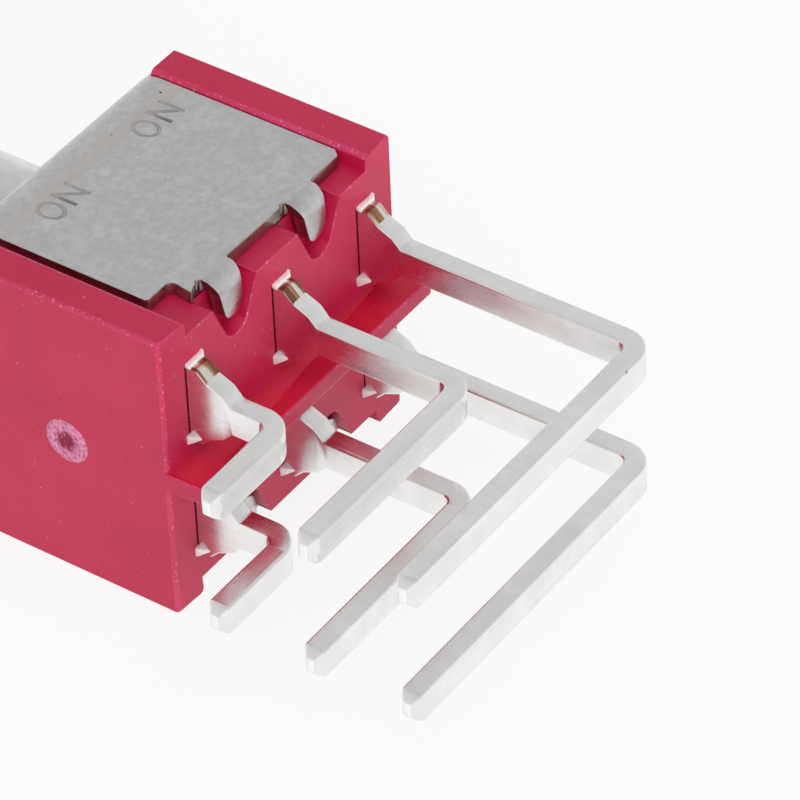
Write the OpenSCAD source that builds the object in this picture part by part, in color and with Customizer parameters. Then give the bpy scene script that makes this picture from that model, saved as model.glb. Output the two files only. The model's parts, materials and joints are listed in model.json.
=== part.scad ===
// Miniature two-pole toggle switch with right-angle circuit-board pins.
// Units are millimetres. +Y runs along the bushing towards the lever's tip,
// +X along the lever's throw and the terminal row, +Z out of the marked side plate.
// The origin is on the bushing's axis, in the face that seats against a panel.

/* [Case] */
// Height of the case from its terminal face to the frame
case_height = 8.7; // [8.6:0.1:9.6]
// Thickness of the case's two end walls
end_wall = 0.8; // [0.6:0.05:1]
// Thickness of the case's side walls, under the side plates
side_wall = 0.8; // [0.6:0.05:0.9]
// Thickness of the case's floor, which holds the terminals
floor_thickness = 1.5; // [1.4:0.05:1.7]
// Depth of the channel that each side plate lies in
channel_depth = 0.6; // [0.55:0.05:0.7]
// Width of the rim at each end of a channel
rim_width = 1.4; // [1.2:0.05:1.5]
// Room between a contact and the case's end wall
contact_room = 0.15; // [0.1:0.05:0.4]
// Room between a terminal's root and the case's side wall
root_room = 0.35; // [0.2:0.05:0.6]
// Radius of the case's upright corners
corner_radius = 0.15; // [0.1:0.05:0.5]
// Reach of the barrier ledge between the two terminal rows
ledge_reach = 1.45; // [1:0.05:1.8]
// Thickness of the barrier ledge
ledge_thickness = 0.7; // [0.5:0.05:0.9]
// Thickness of the wall between the two poles, inside the case
pole_wall = 0.8; // [0.6:0.05:1]
// Height of the wall between the two poles above the floor
pole_wall_height = 2.3; // [1.5:0.1:2.5]

/* [Frame] */
// Thickness of the frame's sheet metal
sheet = 0.5; // [0.4:0.05:0.55]
// Sideways play of the plates in their channels
plate_play = 0.35; // [0.1:0.05:0.5]
// Share of that play by which the plates sit to one side, where 0.5 touches
plate_lean = 0.35; // [0:0.05:0.45]
// Distance from the plates' edge to the case's terminal face
plate_setback = 0.9; // [0.8:0.05:1.1]
// Outer radius of the folds between the top strap and the plates
fold_radius = 0.9; // [0.75:0.05:1.1]
// Distance from the case's end to the end of the top strap
strap_inset = 0.6; // [0.3:0.05:0.9]
// Distance of each retaining hook from the middle of its plate
hook_offset = 2.3; // [2.2:0.05:2.4]
// Width of a retaining hook at its root
hook_width = 1.5; // [1.3:0.05:1.6]
// Distance that a retaining hook reaches inwards from the plate's outer face
hook_reach = 1.7; // [1.5:0.05:1.8]
// Inner radius of a hook's fold
hook_fold = 0.15; // [0.1:0.05:0.2]
// Room beside a hook at its notch's mouth
notch_room = 0.4; // [0.3:0.05:0.5]
// Gap between the end of a hook and the bottom of its notch
notch_gap = 0.5; // [0.2:0.05:0.6]
// Length of the corner cut out of each plate
corner_cut_length = 1.2; // [0.9:0.05:1.3]
// Depth of the corner cut out of each plate
corner_cut_depth = 0.8; // [0.4:0.05:0.9]

/* [Bushing] */
// Outer diameter of the threaded bushing
bushing_diameter = 6.35; // [6.3:0.05:6.6]
// Length of the bushing above the panel seat
bushing_length = 8.9; // [8:0.1:9.5]
// Pitch of the bushing's thread, which is drawn as rings
thread_pitch = 0.635; // [0.6:0.005:0.8]
// Depth of the thread's grooves
thread_depth = 0.3; // [0.2:0.05:0.35]
// Length of the bushing's plain foot below the thread
thread_start = 0.5; // [0.3:0.1:1]
// Width of the keyway along the bushing
keyway_width = 0.8; // [0.5:0.05:1]
// Depth of the keyway
keyway_depth = 0.45; // [0.3:0.05:0.5]
// Clearance around the bushing in the frame's hole
bushing_clearance = 0.2; // [0.18:0.01:0.25]
// Depth of the neck turned in the bushing where it passes through the frame
neck_depth = 0.4; // [0.3:0.05:0.45]
// Reach of the bushing's flange under the frame
flange_reach = 0.5; // [0.3:0.05:0.6]
// Thickness of the bushing's flange
flange_thickness = 0.5; // [0.3:0.05:0.6]

/* [Lever] */
// Height of the lever's pivot above the panel seat
pivot_height = 5; // [4.8:0.05:5.1]
// Angle that the lever turns from the bushing's axis to each end of its throw
lever_tilt = 12.5; // [11.5:0.1:12.5]
// Reach of the lever beyond the bushing
lever_reach = 10.4; // [8:0.1:14]
// Diameter of the lever's bat at its tip
bat_diameter = 3; // [2.5:0.05:3.4]
// Diameter of the lever's neck in the bushing's mouth
lever_neck_diameter = 1.9; // [1.6:0.05:1.95]
// Diameter of the ball at the lever's pivot
ball_diameter = 4; // [3.9:0.05:4.05]
// Diameter of the shank below the ball
shank_diameter = 2.3; // [2.2:0.05:2.35]
// Diameter of the bore that holds the spring and the plunger
bore_diameter = 1.6; // [1.55:0.05:1.7]
// Depth of the bore's closed end below the pivot
bore_end_depth = 1.7; // [1.5:0.05:2]
// Diameter of the pivot pin
pin_diameter = 1; // [0.8:0.05:1.1]
// Length of the pivot pin
pin_length = 5; // [4.8:0.05:5]

/* [Plunger and spring] */
// Diameter of the plunger's stem
stem_diameter = 1.5; // [1.4:0.02:1.5]
// Length of the stem inside the bore
stem_length = 2.7; // [2:0.1:3]
// Length of the plunger's crossbar over both poles
crossbar_length = 6; // [5.9:0.1:6.4]
// Width of the crossbar
crossbar_width = 1.8; // [1.4:0.1:2]
// Height of the crossbar
crossbar_height = 1.2; // [1:0.05:1.4]
// Distance that the plunger can be pushed into the lever
plunger_travel = 0.25; // [0.1:0.05:0.3]
// Diameter of each of the plunger's two feet
foot_diameter = 1.1; // [0.9:0.05:1.2]
// Reach of the feet below the crossbar, to the centre of their round ends
foot_reach = 1.3; // [1.1:0.05:1.5]
// Wire diameter of the spring
spring_wire = 0.2; // [0.15:0.01:0.22]
// Outer diameter of the spring
spring_diameter = 1.3; // [1.2:0.02:1.4]
// Number of turns in the spring
spring_turns = 7; // [5:1:8]

/* [Terminals] */
// Distance from one terminal to the next along the throw
terminal_pitch = 4.7; // [4.6:0.05:4.75]
// Distance between the two rows of terminals
row_spacing = 4.8; // [4.7:0.05:4.9]
// Thickness of the terminals' strip
strip = 0.76; // [0.6:0.02:0.8]
// Width of a terminal's root at the case
root_width = 3.1; // [2.8:0.05:3.1]
// Width of a terminal's leg
leg_width = 1.15; // [1:0.05:1.3]
// Distance over which the root tapers to the leg
root_length = 1.7; // [1.4:0.1:1.9]
// Distance from the case to the shortest terminal's pin
first_pin = 3.45; // [3.2:0.05:4]
// Distance from one row of pins to the next
pin_pitch = 3.7; // [3.5:0.05:3.9]
// Inner radius of the terminals' bends
bend_radius = 0.35; // [0.2:0.05:0.5]
// Reach of the pins beyond the case's end
pin_reach = 2.45; // [2:0.05:4.5]
// Clearance of a terminal in its slot
slot_clearance = 0.05; // [0.02:0.01:0.1]

/* [Contacts] */
// Thickness of the rocker blades and of the terminals' shelves
blade = 0.4; // [0.3:0.02:0.45]
// Width of a rocker blade
rocker_width = 1.9; // [1.7:0.05:2]
// Length of a rocker blade beyond the middle of each of its contacts
rocker_overhang = 0.4; // [0.3:0.05:0.5]
// Angle of a rocker blade's arms
rocker_angle = 6; // [5:0.25:6.5]
// Diameter of a contact
contact_diameter = 1.4; // [1.2:0.05:1.5]
// Thickness of a fixed contact
fixed_contact = 0.35; // [0.3:0.05:0.4]
// Thickness of a moving contact
moving_contact = 0.25; // [0.2:0.05:0.3]
// Gap under a terminal's shelf
shelf_gap = 0.15; // [0.1:0.05:0.2]

/* [Fits] */
// Running clearance at the pivot pin, the plunger and the rockers
running_clearance = 0.03; // [0.02:0.01:0.05]
// Least gap between the plunger's feet and the rockers over the throw
foot_gap = 0.05; // [0.04:0.01:0.1]

/* [Hidden] */
$fn = 64;
far = 30;
terminal_face = -sheet - case_height;
case_floor = terminal_face + floor_thickness;
row_z = row_spacing / 2;
cavity_half_length = terminal_pitch + contact_diameter / 2 + contact_room;
cavity_half_thickness = row_z + root_width / 2 + root_room;
half_length = cavity_half_length + end_wall;
channel_face = cavity_half_thickness + side_wall;
half_thickness = channel_face + channel_depth;
channel_half = half_length - rim_width;
plate_width = 2 * channel_half - plate_play;
plate_shift = plate_play * plate_lean;
plate_face = channel_face + sheet;
plate_edge = terminal_face + plate_setback;
notch_floor = plate_edge + 0.02;
notch_half = hook_width / 2 + notch_room;
slot_x = strip / 2 + slot_clearance;
slot_z = root_width / 2 + slot_clearance;
shelf_bottom = case_floor + shelf_gap;
shelf_top = shelf_bottom + blade;
ridge_y = shelf_top + fixed_contact;
ridge_radius = moving_contact;
arm_offset = ridge_radius + running_clearance;
half_leg = leg_width / 2;
bend_centre = bend_radius + strip / 2;
chamber_radius = ball_diameter / 2 + 0.08;
foot_radius = foot_diameter / 2;
// Distance from the pivot to the centre of a foot's round end, set at mid throw, where the gap is least
foot_depth = pivot_height - ridge_y - foot_gap - 0.03
    - (arm_offset + blade + foot_radius) / cos(rocker_angle);
crossbar_top = foot_depth - foot_reach - crossbar_height;
shank_depth = crossbar_top - plunger_travel - 0.1;
stem_top = shank_depth - stem_length;
terminal_x = [-terminal_pitch, 0, terminal_pitch];

// Points of an arc about a centre, from one angle to another
function arc(centre, radius, from, to, steps = 8) =
    [for (i = [0:steps]) let (a = from + (to - from) * i / steps) centre + radius * [cos(a), sin(a)]];

// Points of a smooth curve through given points, the first and last of which only steer it
function through(p, steps = 4) =
    [for (i = [1:len(p) - 3], j = [0:steps - 1])
        let (t = j / steps, a = p[i - 1], b = p[i], c = p[i + 1], d = p[i + 2])
        0.5 * (2 * b + (c - a) * t + (2 * a - 5 * b + 4 * c - d) * t * t
            + (3 * b - a - 3 * c + d) * t * t * t)];

// A shape drawn in Y and Z, extruded along X about the middle
module along_x(length) {
    rotate([90, 0, 90]) linear_extrude(length, center = true) children();
}

// A shape drawn in X and Z, extruded from one Y to another
module along_y(from, to) {
    translate([0, to, 0]) rotate([90, 0, 0]) linear_extrude(to - from) children();
}

// A shape drawn in X and Y, extruded along Z about a given height
module along_z(middle, length) {
    translate([0, 0, middle - length / 2]) linear_extrude(length) children();
}

// A profile of radius against Y, turned about the Y axis
module turned() {
    rotate([-90, 0, 0]) rotate_extrude() children();
}

// Both sides of the case: the children and their mirror image in Z
module both_sides() {
    children();
    mirror([0, 0, 1]) children();
}

// The case's outline, with round upright corners
module case_outline() {
    r = corner_radius;
    difference() {
        translate([-half_length, terminal_face]) square([2 * half_length, case_height]);
        for (side = [-1, 1])
            translate([side * (half_length - r), terminal_face + r])
                difference() {
                    translate([side > 0 ? 0 : -2 * r, -2 * r]) square(2 * r);
                    circle(r);
                }
    }
}

// The channel that a side plate lies in, with the rims' inner edges rounded over
module channel() {
    r = 0.2;
    along_y(terminal_face - 1, far) {
        translate([-channel_half, channel_face]) square([2 * channel_half, far]);
        for (side = [-1, 1])
            translate([side * (channel_half + r), half_thickness - r]) difference() {
                translate([side > 0 ? -r : 0, 0]) square([r, far]);
                circle(r);
            }
    }
}

// The outline in X and Z of the notch that a retaining hook folds into
module notch_outline(x) {
    round = notch_half * 0.54;
    bottom = plate_face - hook_reach - notch_gap + round;
    polygon(concat(
        [[x + notch_half, far], [x - notch_half, far], [x - notch_half, channel_face - 0.1]],
        arc([x, bottom], round, 200, 340, 12),
        [[x + notch_half, channel_face - 0.1]]
    ));
}

module case_body() {
    relief = fold_radius - sheet + 0.05;
    color("crimson") difference() {
        union() {
            along_z(0, 2 * half_thickness) case_outline();
            translate([-half_length, terminal_face - ledge_reach, -ledge_thickness / 2])
                cube([2 * half_length, ledge_reach + corner_radius, ledge_thickness]);
        }
        both_sides() {
            channel();
            for (side = [-1, 1]) along_y(terminal_face - 1, notch_floor) notch_outline(side * hook_offset);
            along_x(2 * channel_half) difference() {
                translate([-sheet - relief, channel_face - relief]) square(2 * relief);
                translate([-sheet - relief, channel_face - relief]) circle(relief);
            }
            translate([-cavity_half_length, case_floor, pole_wall / 2])
                cube([2 * cavity_half_length, case_height, cavity_half_thickness - pole_wall / 2]);
            for (x = terminal_x)
                translate([x - slot_x, terminal_face - 1, row_z - slot_z])
                    cube([2 * slot_x, floor_thickness + 2, 2 * slot_z]);
        }
        translate([-cavity_half_length, case_floor + pole_wall_height, -pole_wall])
            cube([2 * cavity_half_length, case_height, 2 * pole_wall]);
    }
}

// The outline in X and Z of a retaining hook, which narrows from its root to a round end
module hook_outline(x) {
    w = hook_width / 2;
    tip = plate_face - hook_reach;
    translate([x, 0]) polygon(through([
        [-w * 1.2, plate_face + 0.4], [-w, plate_face + 0.1], [-w * 0.8, plate_face - 0.4],
        [-w * 0.58, tip + 0.6], [-w * 0.42, tip + 0.15], [-w * 0.15, tip], [w * 0.25, tip + 0.02],
        [w * 0.65, tip + 0.2], [w * 0.8, tip + 0.6], [w * 0.8, plate_face - 0.5],
        [w, plate_face + 0.1], [w * 1.2, plate_face + 0.4]
    ]));
}

// A retaining hook: the plate's edge folded square into its notch
module hook(x) {
    outer = hook_fold + sheet;
    intersection() {
        along_y(plate_edge - outer, plate_edge + 0.1) hook_outline(x);
        along_x(far) translate([plate_edge, plate_face - outer]) {
            intersection() {
                difference() {
                    circle(outer);
                    circle(hook_fold);
                }
                translate([-outer, 0]) square(outer);
            }
            translate([-outer, -plate_face]) square([sheet, plate_face]);
            translate([0, hook_fold]) square([0.1, sheet]);
        }
    }
}

// One side plate's outline in X and Y, with one corner cut back and a nick beside each hook
module plate_outline() {
    left = plate_shift - plate_width / 2;
    right = plate_shift + plate_width / 2;
    cut_x = left + corner_cut_length;
    cut_y = plate_edge + corner_cut_depth;
    r = 0.25;
    difference() {
        polygon(concat(
            [[left, -fold_radius], [left, cut_y + 0.1], [left + 0.1, cut_y]],
            arc([cut_x - r, cut_y - r], r, 90, 0, 5),
            [[cut_x - 0.1, plate_edge - 0.12], [cut_x + 0.2, plate_edge], [right - 0.25, plate_edge],
             [right, plate_edge + 0.25], [right, -fold_radius]]
        ));
        for (side = [-1, 1])
            translate([plate_shift + side * hook_offset - hook_width / 2 - 0.1, plate_edge]) circle(0.1);
    }
}

// The frame's section in Y and Z between the two plates' flats
module strap_section() {
    inner = fold_radius - sheet;
    flat = plate_face - fold_radius;
    translate([-sheet, -flat]) square([sheet, 2 * flat]);
    for (side = [-1, 1])
        translate([-fold_radius, side * flat]) intersection() {
            difference() {
                circle(fold_radius);
                circle(inner);
            }
            translate([0, side > 0 ? 0 : -fold_radius]) square(fold_radius);
        }
}

module frame() {
    hole = bushing_diameter / 2 + bushing_clearance;
    wing_half = plate_face - 0.6;
    strap_half = half_length - strap_inset;
    color("silver") difference() {
        union() {
            translate([plate_shift, 0, 0]) along_x(plate_width) strap_section();
            translate([-strap_half, -sheet, fold_radius - plate_face])
                cube([2 * strap_half, sheet, 2 * (plate_face - fold_radius)]);
            for (side = [-1, 1]) {
                plate_end = plate_width / 2 + side * plate_shift + 0.05;
                wing = strap_half - plate_end;
                translate([side * (plate_end + wing / 2), -sheet / 2, 0])
                    cube([wing, sheet, 2 * wing_half], center = true);
            }
            both_sides() {
                along_z(channel_face + sheet / 2, sheet) plate_outline();
                for (side = [-1, 1]) hook(plate_shift + side * hook_offset);
            }
        }
        translate([0, far, 0]) rotate([90, 0, 0]) cylinder(r = hole, h = 2 * far);
    }
}

module bushing() {
    outer = bushing_diameter / 2;
    neck = outer - neck_depth;
    top = bushing_length;
    chamfer = 0.4;
    flange = outer + flange_reach;
    bottom = -sheet - flange_thickness;
    ball = ball_diameter / 2;
    swing = tan(lever_tilt);
    mouth = (top - pivot_height) * swing + lever_neck_diameter / 2 / cos(lever_tilt) + 0.07;
    throat_rise = ball * 0.85;
    throat = chamber_radius - 0.58;
    skirt = (pivot_height - bottom) * swing + shank_diameter / 2 / cos(lever_tilt) + 0.1;
    slot_radius = pin_diameter / 2 + running_clearance;
    half_groove = thread_depth * tan(30);
    rings = floor((top - chamfer - thread_start) / thread_pitch);
    color("gainsboro") difference() {
        turned() polygon(concat(
            [[chamber_radius, pivot_height + ball / 5], [throat, pivot_height + throat_rise], [mouth, top],
             [outer - chamfer, top], [outer, top - chamfer]],
            [for (i = [rings - 1:-1:0], side = [1, 0, -1]) let (y = thread_start + (i + 0.5) * thread_pitch)
                [outer - (side == 0 ? thread_depth : 0), y + side * half_groove]],
            [[outer, 0], [neck, 0], [neck, -sheet], [flange, -sheet], [flange, bottom], [skirt, bottom],
             [chamber_radius, pivot_height - ball * 1.75]]
        ));
        pin_slot(slot_radius, bottom);
        translate([outer - keyway_depth, chamfer, -keyway_width / 2]) cube([1, top, keyway_width]);
    }
}

// The slot in the bushing that the pivot pin's ends turn in, open at the bottom
module pin_slot(radius, bottom) {
    length = pin_length + 2 * running_clearance;
    translate([0, pivot_height, -length / 2]) cylinder(r = radius, h = length);
    translate([-radius, bottom - 1, -length / 2]) cube([2 * radius, pivot_height - bottom + 1, length]);
}

// Anything that turns with the lever, drawn about the pivot
module on_lever() {
    translate([0, pivot_height, 0]) children();
}

module lever() {
    neck = lever_neck_diameter / 2;
    bat = bat_diameter / 2;
    ball = ball_diameter / 2;
    shank = shank_diameter / 2;
    mouth = bushing_length - pivot_height;
    tip = mouth + lever_reach;
    bore = bore_diameter / 2;
    color("whitesmoke") on_lever() difference() {
        union() {
            turned() polygon([
                [0, -shank_depth], [shank - 0.1, -shank_depth], [shank, -shank_depth + 0.1], [shank, 0],
                [neck, 0], [neck, mouth], [bat, tip - bat], [0, tip - bat]
            ]);
            sphere(ball);
            translate([0, tip - bat, 0]) sphere(bat);
        }
        translate([0, -bore_end_depth, 0]) rotate([90, 0, 0]) cylinder(r = bore, h = far);
        cylinder(r = pin_diameter / 2, h = far, center = true);
    }
}

module pivot_pin() {
    color("gray") on_lever() cylinder(d = pin_diameter - 0.02, h = pin_length, center = true);
}

module plunger() {
    stem = stem_diameter / 2;
    color("ivory") on_lever() {
        translate([0, -stem_top, 0]) rotate([90, 0, 0]) cylinder(r = stem, h = crossbar_top - stem_top + 0.1);
        translate([-crossbar_width / 2, -crossbar_top - crossbar_height, -crossbar_length / 2])
            cube([crossbar_width, crossbar_height, crossbar_length]);
        both_sides() translate([0, 0, row_z]) {
            translate([0, -crossbar_top, 0]) rotate([90, 0, 0])
                cylinder(r = foot_radius, h = foot_depth - crossbar_top);
            translate([0, -foot_depth, 0]) sphere(foot_radius);
        }
    }
}

// A coil of round wire as one swept tube, with its axis along Y
module coil(radius, wire, length, turns) {
    sides = 8;
    steps = 14 * turns;
    rise = length - wire;
    points = [for (i = [0:steps], j = [0:sides - 1]) let (
        a = 360 * turns * i / steps,
        b = 360 * j / sides,
        r = radius + wire / 2 * cos(b),
        y = wire / 2 + rise * i / steps + wire / 2 * sin(b)
    ) [r * cos(a), y, r * sin(a)]];
    walls = [for (i = [0:steps - 1], j = [0:sides - 1]) let (k = (j + 1) % sides)
        [i * sides + j, (i + 1) * sides + j, (i + 1) * sides + k, i * sides + k]];
    first = [for (j = [0:sides - 1]) j];
    last = [for (j = [sides - 1:-1:0]) steps * sides + j];
    polyhedron(points, concat(walls, [first, last]), convexity = 10);
}

module plunger_spring() {
    radius = (spring_diameter - spring_wire) / 2;
    length = stem_top - bore_end_depth - 0.04;
    color("dimgray") on_lever() translate([0, -stem_top + 0.02, 0])
        coil(radius, spring_wire, length, spring_turns);
}

// A terminal's root and taper, drawn in Y and Z about the middle of its row
module root_outline() {
    half_root = root_width / 2;
    f = terminal_face;
    polygon([
        [shelf_bottom + blade / 2, -half_root], [f - root_length * 0.27, -half_root],
        [f - root_length * 0.47, -half_root * 0.78], [f - root_length * 0.8, -half_root * 0.62],
        [f - root_length, -half_leg], [f - root_length - 0.1, -half_leg],
        [f - root_length - 0.1, half_leg], [f - root_length, half_leg],
        [f - root_length * 0.8, half_root * 0.62], [f - root_length * 0.47, half_root * 0.78],
        [f - root_length * 0.27, half_root], [shelf_bottom + blade / 2, half_root]
    ]);
}

// A terminal's leg, bend and pin, drawn in X and Y
module leg_outline(x, pin_y) {
    half = strip / 2;
    r = bend_radius;
    outer = r + strip;
    tip = -half_length - pin_reach;
    tip_taper = 0.25;
    c = [x - bend_centre, pin_y + bend_centre];
    polygon(concat(
        [[x + half, terminal_face - root_length], [x - half, terminal_face - root_length]],
        arc(c, r, 0, -90),
        [[tip + tip_taper, pin_y + half], [tip, pin_y + half - tip_taper], [tip, pin_y - half + tip_taper],
         [tip + tip_taper, pin_y - half]],
        arc(c, outer, -90, 0)
    ));
}

// A whole terminal: pole +1 or -1, and place 0, 1 or 2 along the row
module terminal(pole, place) {
    x = terminal_x[place];
    pin_y = terminal_face - first_pin - place * pin_pitch;
    shelf_x = contact_diameter / 2 + 0.05;
    color("silver") translate([0, 0, pole * row_z]) {
        translate([x, 0, 0]) {
            along_x(strip) root_outline();
            translate([-shelf_x, shelf_bottom, -rocker_width / 2 - 0.35])
                cube([2 * shelf_x, blade, rocker_width + 0.7]);
            if (place == 1) ridge_and_ears();
        }
        along_z(0, leg_width) leg_outline(x, pin_y);
    }
}

// The ridge that a rocker tips on, and the ears that keep it in line
module ridge_and_ears() {
    ear = 0.3;
    ear_height = 1.3;
    inner = rocker_width / 2 + 0.05;
    translate([0, ridge_y, -inner - ear / 2]) cylinder(r = ridge_radius, h = 2 * inner + ear);
    translate([-ridge_radius, shelf_bottom, -inner - ear / 2])
        cube([2 * ridge_radius, ridge_y - shelf_bottom, 2 * inner + ear]);
    both_sides() translate([-0.5, shelf_bottom, inner]) cube([1, blade + ear_height, ear]);
}

// Anything that tips with a pole's rocker, drawn about the ridge
module on_rocker(pole) {
    translate([0, ridge_y, pole * row_z]) children();
}

module rocker(pole) {
    reach = terminal_pitch + rocker_overhang;
    rise = tan(rocker_angle);
    under = arm_offset / cos(rocker_angle);
    over = (arm_offset + blade) / cos(rocker_angle);
    color("goldenrod") on_rocker(pole) along_z(0, rocker_width) polygon([
        [0, under], [reach, under + reach * rise], [reach, over + reach * rise],
        [0, over], [-reach, over + reach * rise], [-reach, under + reach * rise]
    ]);
}

module fixed_contact(pole, side) {
    color("lightgray") translate([side * terminal_pitch, shelf_top, pole * row_z]) rotate([-90, 0, 0])
        cylinder(d = contact_diameter, h = fixed_contact);
}

module moving_contact(pole, side) {
    color("lightgray") on_rocker(pole) rotate([0, 0, side * rocker_angle])
        translate([side * terminal_pitch, arm_offset - moving_contact, 0]) rotate([-90, 0, 0])
            cylinder(d = contact_diameter, h = moving_contact);
}

case_body();  // case
frame();
bushing();
lever();
pivot_pin();
plunger();
plunger_spring();
terminal(1, 0);  // terminal_a1
terminal(1, 1);  // terminal_a2
terminal(1, 2);  // terminal_a3
terminal(-1, 0);  // terminal_b1
terminal(-1, 1);  // terminal_b2
terminal(-1, 2);  // terminal_b3
rocker(1);  // rocker_a
rocker(-1);  // rocker_b
fixed_contact(1, -1);  // fixed_contact_a1
fixed_contact(1, 1);  // fixed_contact_a3
fixed_contact(-1, -1);  // fixed_contact_b1
fixed_contact(-1, 1);  // fixed_contact_b3
moving_contact(1, -1);  // moving_contact_a1
moving_contact(1, 1);  // moving_contact_a3
moving_contact(-1, -1);  // moving_contact_b1
moving_contact(-1, 1);  // moving_contact_b3
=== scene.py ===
"""Looks of a miniature two-pole toggle switch with right-angle circuit-board pins."""

import json
import logging
import math
from collections.abc import Callable, Sequence
from dataclasses import dataclass
from enum import Enum

import bmesh
import bpy
from mathutils import Matrix, Vector


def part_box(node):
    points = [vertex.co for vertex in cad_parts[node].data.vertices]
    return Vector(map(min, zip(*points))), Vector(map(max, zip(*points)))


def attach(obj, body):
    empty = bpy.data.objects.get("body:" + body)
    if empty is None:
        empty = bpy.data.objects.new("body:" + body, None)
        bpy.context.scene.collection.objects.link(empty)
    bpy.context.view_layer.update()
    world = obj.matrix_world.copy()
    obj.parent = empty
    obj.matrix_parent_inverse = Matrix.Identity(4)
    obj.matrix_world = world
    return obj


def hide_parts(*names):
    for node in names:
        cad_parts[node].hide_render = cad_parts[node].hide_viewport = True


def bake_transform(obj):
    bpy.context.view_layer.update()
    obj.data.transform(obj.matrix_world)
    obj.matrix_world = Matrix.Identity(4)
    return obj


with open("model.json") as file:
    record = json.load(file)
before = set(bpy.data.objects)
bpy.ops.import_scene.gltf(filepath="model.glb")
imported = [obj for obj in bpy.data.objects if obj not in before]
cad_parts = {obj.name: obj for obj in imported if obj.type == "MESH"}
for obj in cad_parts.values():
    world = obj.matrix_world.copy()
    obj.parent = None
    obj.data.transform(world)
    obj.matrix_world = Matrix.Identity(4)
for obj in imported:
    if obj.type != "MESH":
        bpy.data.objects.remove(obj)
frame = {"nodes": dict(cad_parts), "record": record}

log = logging.getLogger("toggle_switch")
MM = 0.001
SLACK = 0.01 * MM
SHARP = math.radians(30)
MERGE = 0.0002 * MM
FACING = 0.9

FaceTest = Callable[[Vector, Vector], bool]
EdgeTest = Callable[[Vector, Vector], bool]


class Pole(Enum):
    """The two poles of the switch, by the letter in their nodes' names."""

    UPPER = "a"
    LOWER = "b"


class Place(Enum):
    """The three places of a terminal along the row."""

    FIRST = 1
    MIDDLE = 2
    LAST = 3


class Coat(Enum):
    """How rough a metal's plating is, as its shader roughness."""

    SATIN = 0.34
    SOFT = 0.24
    BRIGHT = 0.12


# ---------------------------------------------------------------- workbench


def clear_selection() -> None:
    """Leave edit mode and deselect every object."""
    if bpy.context.mode != "OBJECT":
        bpy.ops.object.mode_set(mode="OBJECT")
    bpy.ops.object.select_all(action="DESELECT")


def take(piece: bpy.types.Object) -> None:
    """Make one piece the only selected and active object.

    Args:
        piece: The piece.
    """
    clear_selection()
    piece.select_set(True)
    bpy.context.view_layer.objects.active = piece


def open_mesh(piece: bpy.types.Object) -> None:
    """Take a piece and open its mesh in edit mode."""
    take(piece)
    bpy.ops.object.mode_set(mode="EDIT")


def close_mesh() -> None:
    """Leave edit mode."""
    bpy.ops.object.mode_set(mode="OBJECT")


def select_faces(piece: bpy.types.Object, test: FaceTest) -> int:
    """Select faces of the open mesh by their place and normal.

    Args:
        piece: The piece whose mesh is open.
        test: Called with a face's middle and normal.

    Returns:
        How many faces passed the test.
    """
    bpy.ops.mesh.select_mode(type="FACE")
    bpy.ops.mesh.select_all(action="DESELECT")
    shell = bmesh.from_edit_mesh(piece.data)
    shell.normal_update()
    chosen = [face for face in shell.faces if test(face.calc_center_median(), face.normal)]
    for face in chosen:
        face.select_set(True)
    bmesh.update_edit_mesh(piece.data)
    return len(chosen)


def select_edges(piece: bpy.types.Object, test: EdgeTest, sharper: float = SHARP) -> int:
    """Select sharp edges of the open mesh by the place of their ends.

    Args:
        piece: The piece whose mesh is open.
        test: Called with the edge's two ends.
        sharper: The least angle between the edge's two faces.

    Returns:
        How many edges passed the test.
    """
    bpy.ops.mesh.select_mode(type="EDGE")
    bpy.ops.mesh.select_all(action="DESELECT")
    shell = bmesh.from_edit_mesh(piece.data)
    shell.normal_update()
    chosen = [
        edge for edge in shell.edges
        if edge.calc_face_angle(0.0) > sharper and test(edge.verts[0].co, edge.verts[1].co)
    ]
    for edge in chosen:
        edge.select_set(True)
    bmesh.update_edit_mesh(piece.data)
    return len(chosen)


def push(offset: Vector, scale: Vector | None = None, about: Vector | None = None) -> None:
    """Extrude the selected faces, then resize their far end.

    Args:
        offset: How far the new end moves.
        scale: The new end's size along each axis against the old one's.
        about: The point that the resize leaves in place.
    """
    bpy.ops.mesh.extrude_region_move(TRANSFORM_OT_translate={"value": offset})
    if scale is not None:
        bpy.ops.transform.resize(value=scale, center_override=about)


def open_ring(name: str, sides: int, radius: float, height: float) -> bpy.types.Object:
    """Add an empty ring round the Y axis and select it in its open mesh.

    Args:
        name: The new object's name.
        sides: How many sides it has.
        radius: Its radius.
        height: Its height along the axis.

    Returns:
        The new object.
    """
    clear_selection()
    bpy.ops.mesh.primitive_circle_add(vertices=sides, radius=radius, fill_type="NOTHING",
                                      location=(0, height, 0), rotation=(math.pi / 2, 0, 0))
    piece = bpy.context.object
    piece.name = name
    settle(piece)
    open_mesh(piece)
    bpy.ops.mesh.select_mode(type="VERT")
    bpy.ops.mesh.select_all(action="SELECT")
    return piece


def draw_rings(rings: Sequence[tuple[float, float]]) -> None:
    """Extrude the open mesh's selected ring through rings round the Y axis.

    Args:
        rings: Radius and height of each ring, of which the first is the selected one.
    """
    radius, height = rings[0]
    for next_radius, next_height in rings[1:]:
        scale = next_radius / radius
        bpy.ops.mesh.extrude_region_move(TRANSFORM_OT_translate={"value": (0, next_height - height, 0)})
        bpy.ops.transform.resize(value=(scale, 1, scale), center_override=(0, next_height, 0))
        radius, height = next_radius, next_height


def heal() -> None:
    """Merge the open mesh's doubles, turn its faces outwards and leave edit mode."""
    bpy.ops.mesh.select_all(action="SELECT")
    bpy.ops.mesh.remove_doubles(threshold=MERGE)
    bpy.ops.mesh.normals_make_consistent(inside=False)
    close_mesh()


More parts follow.
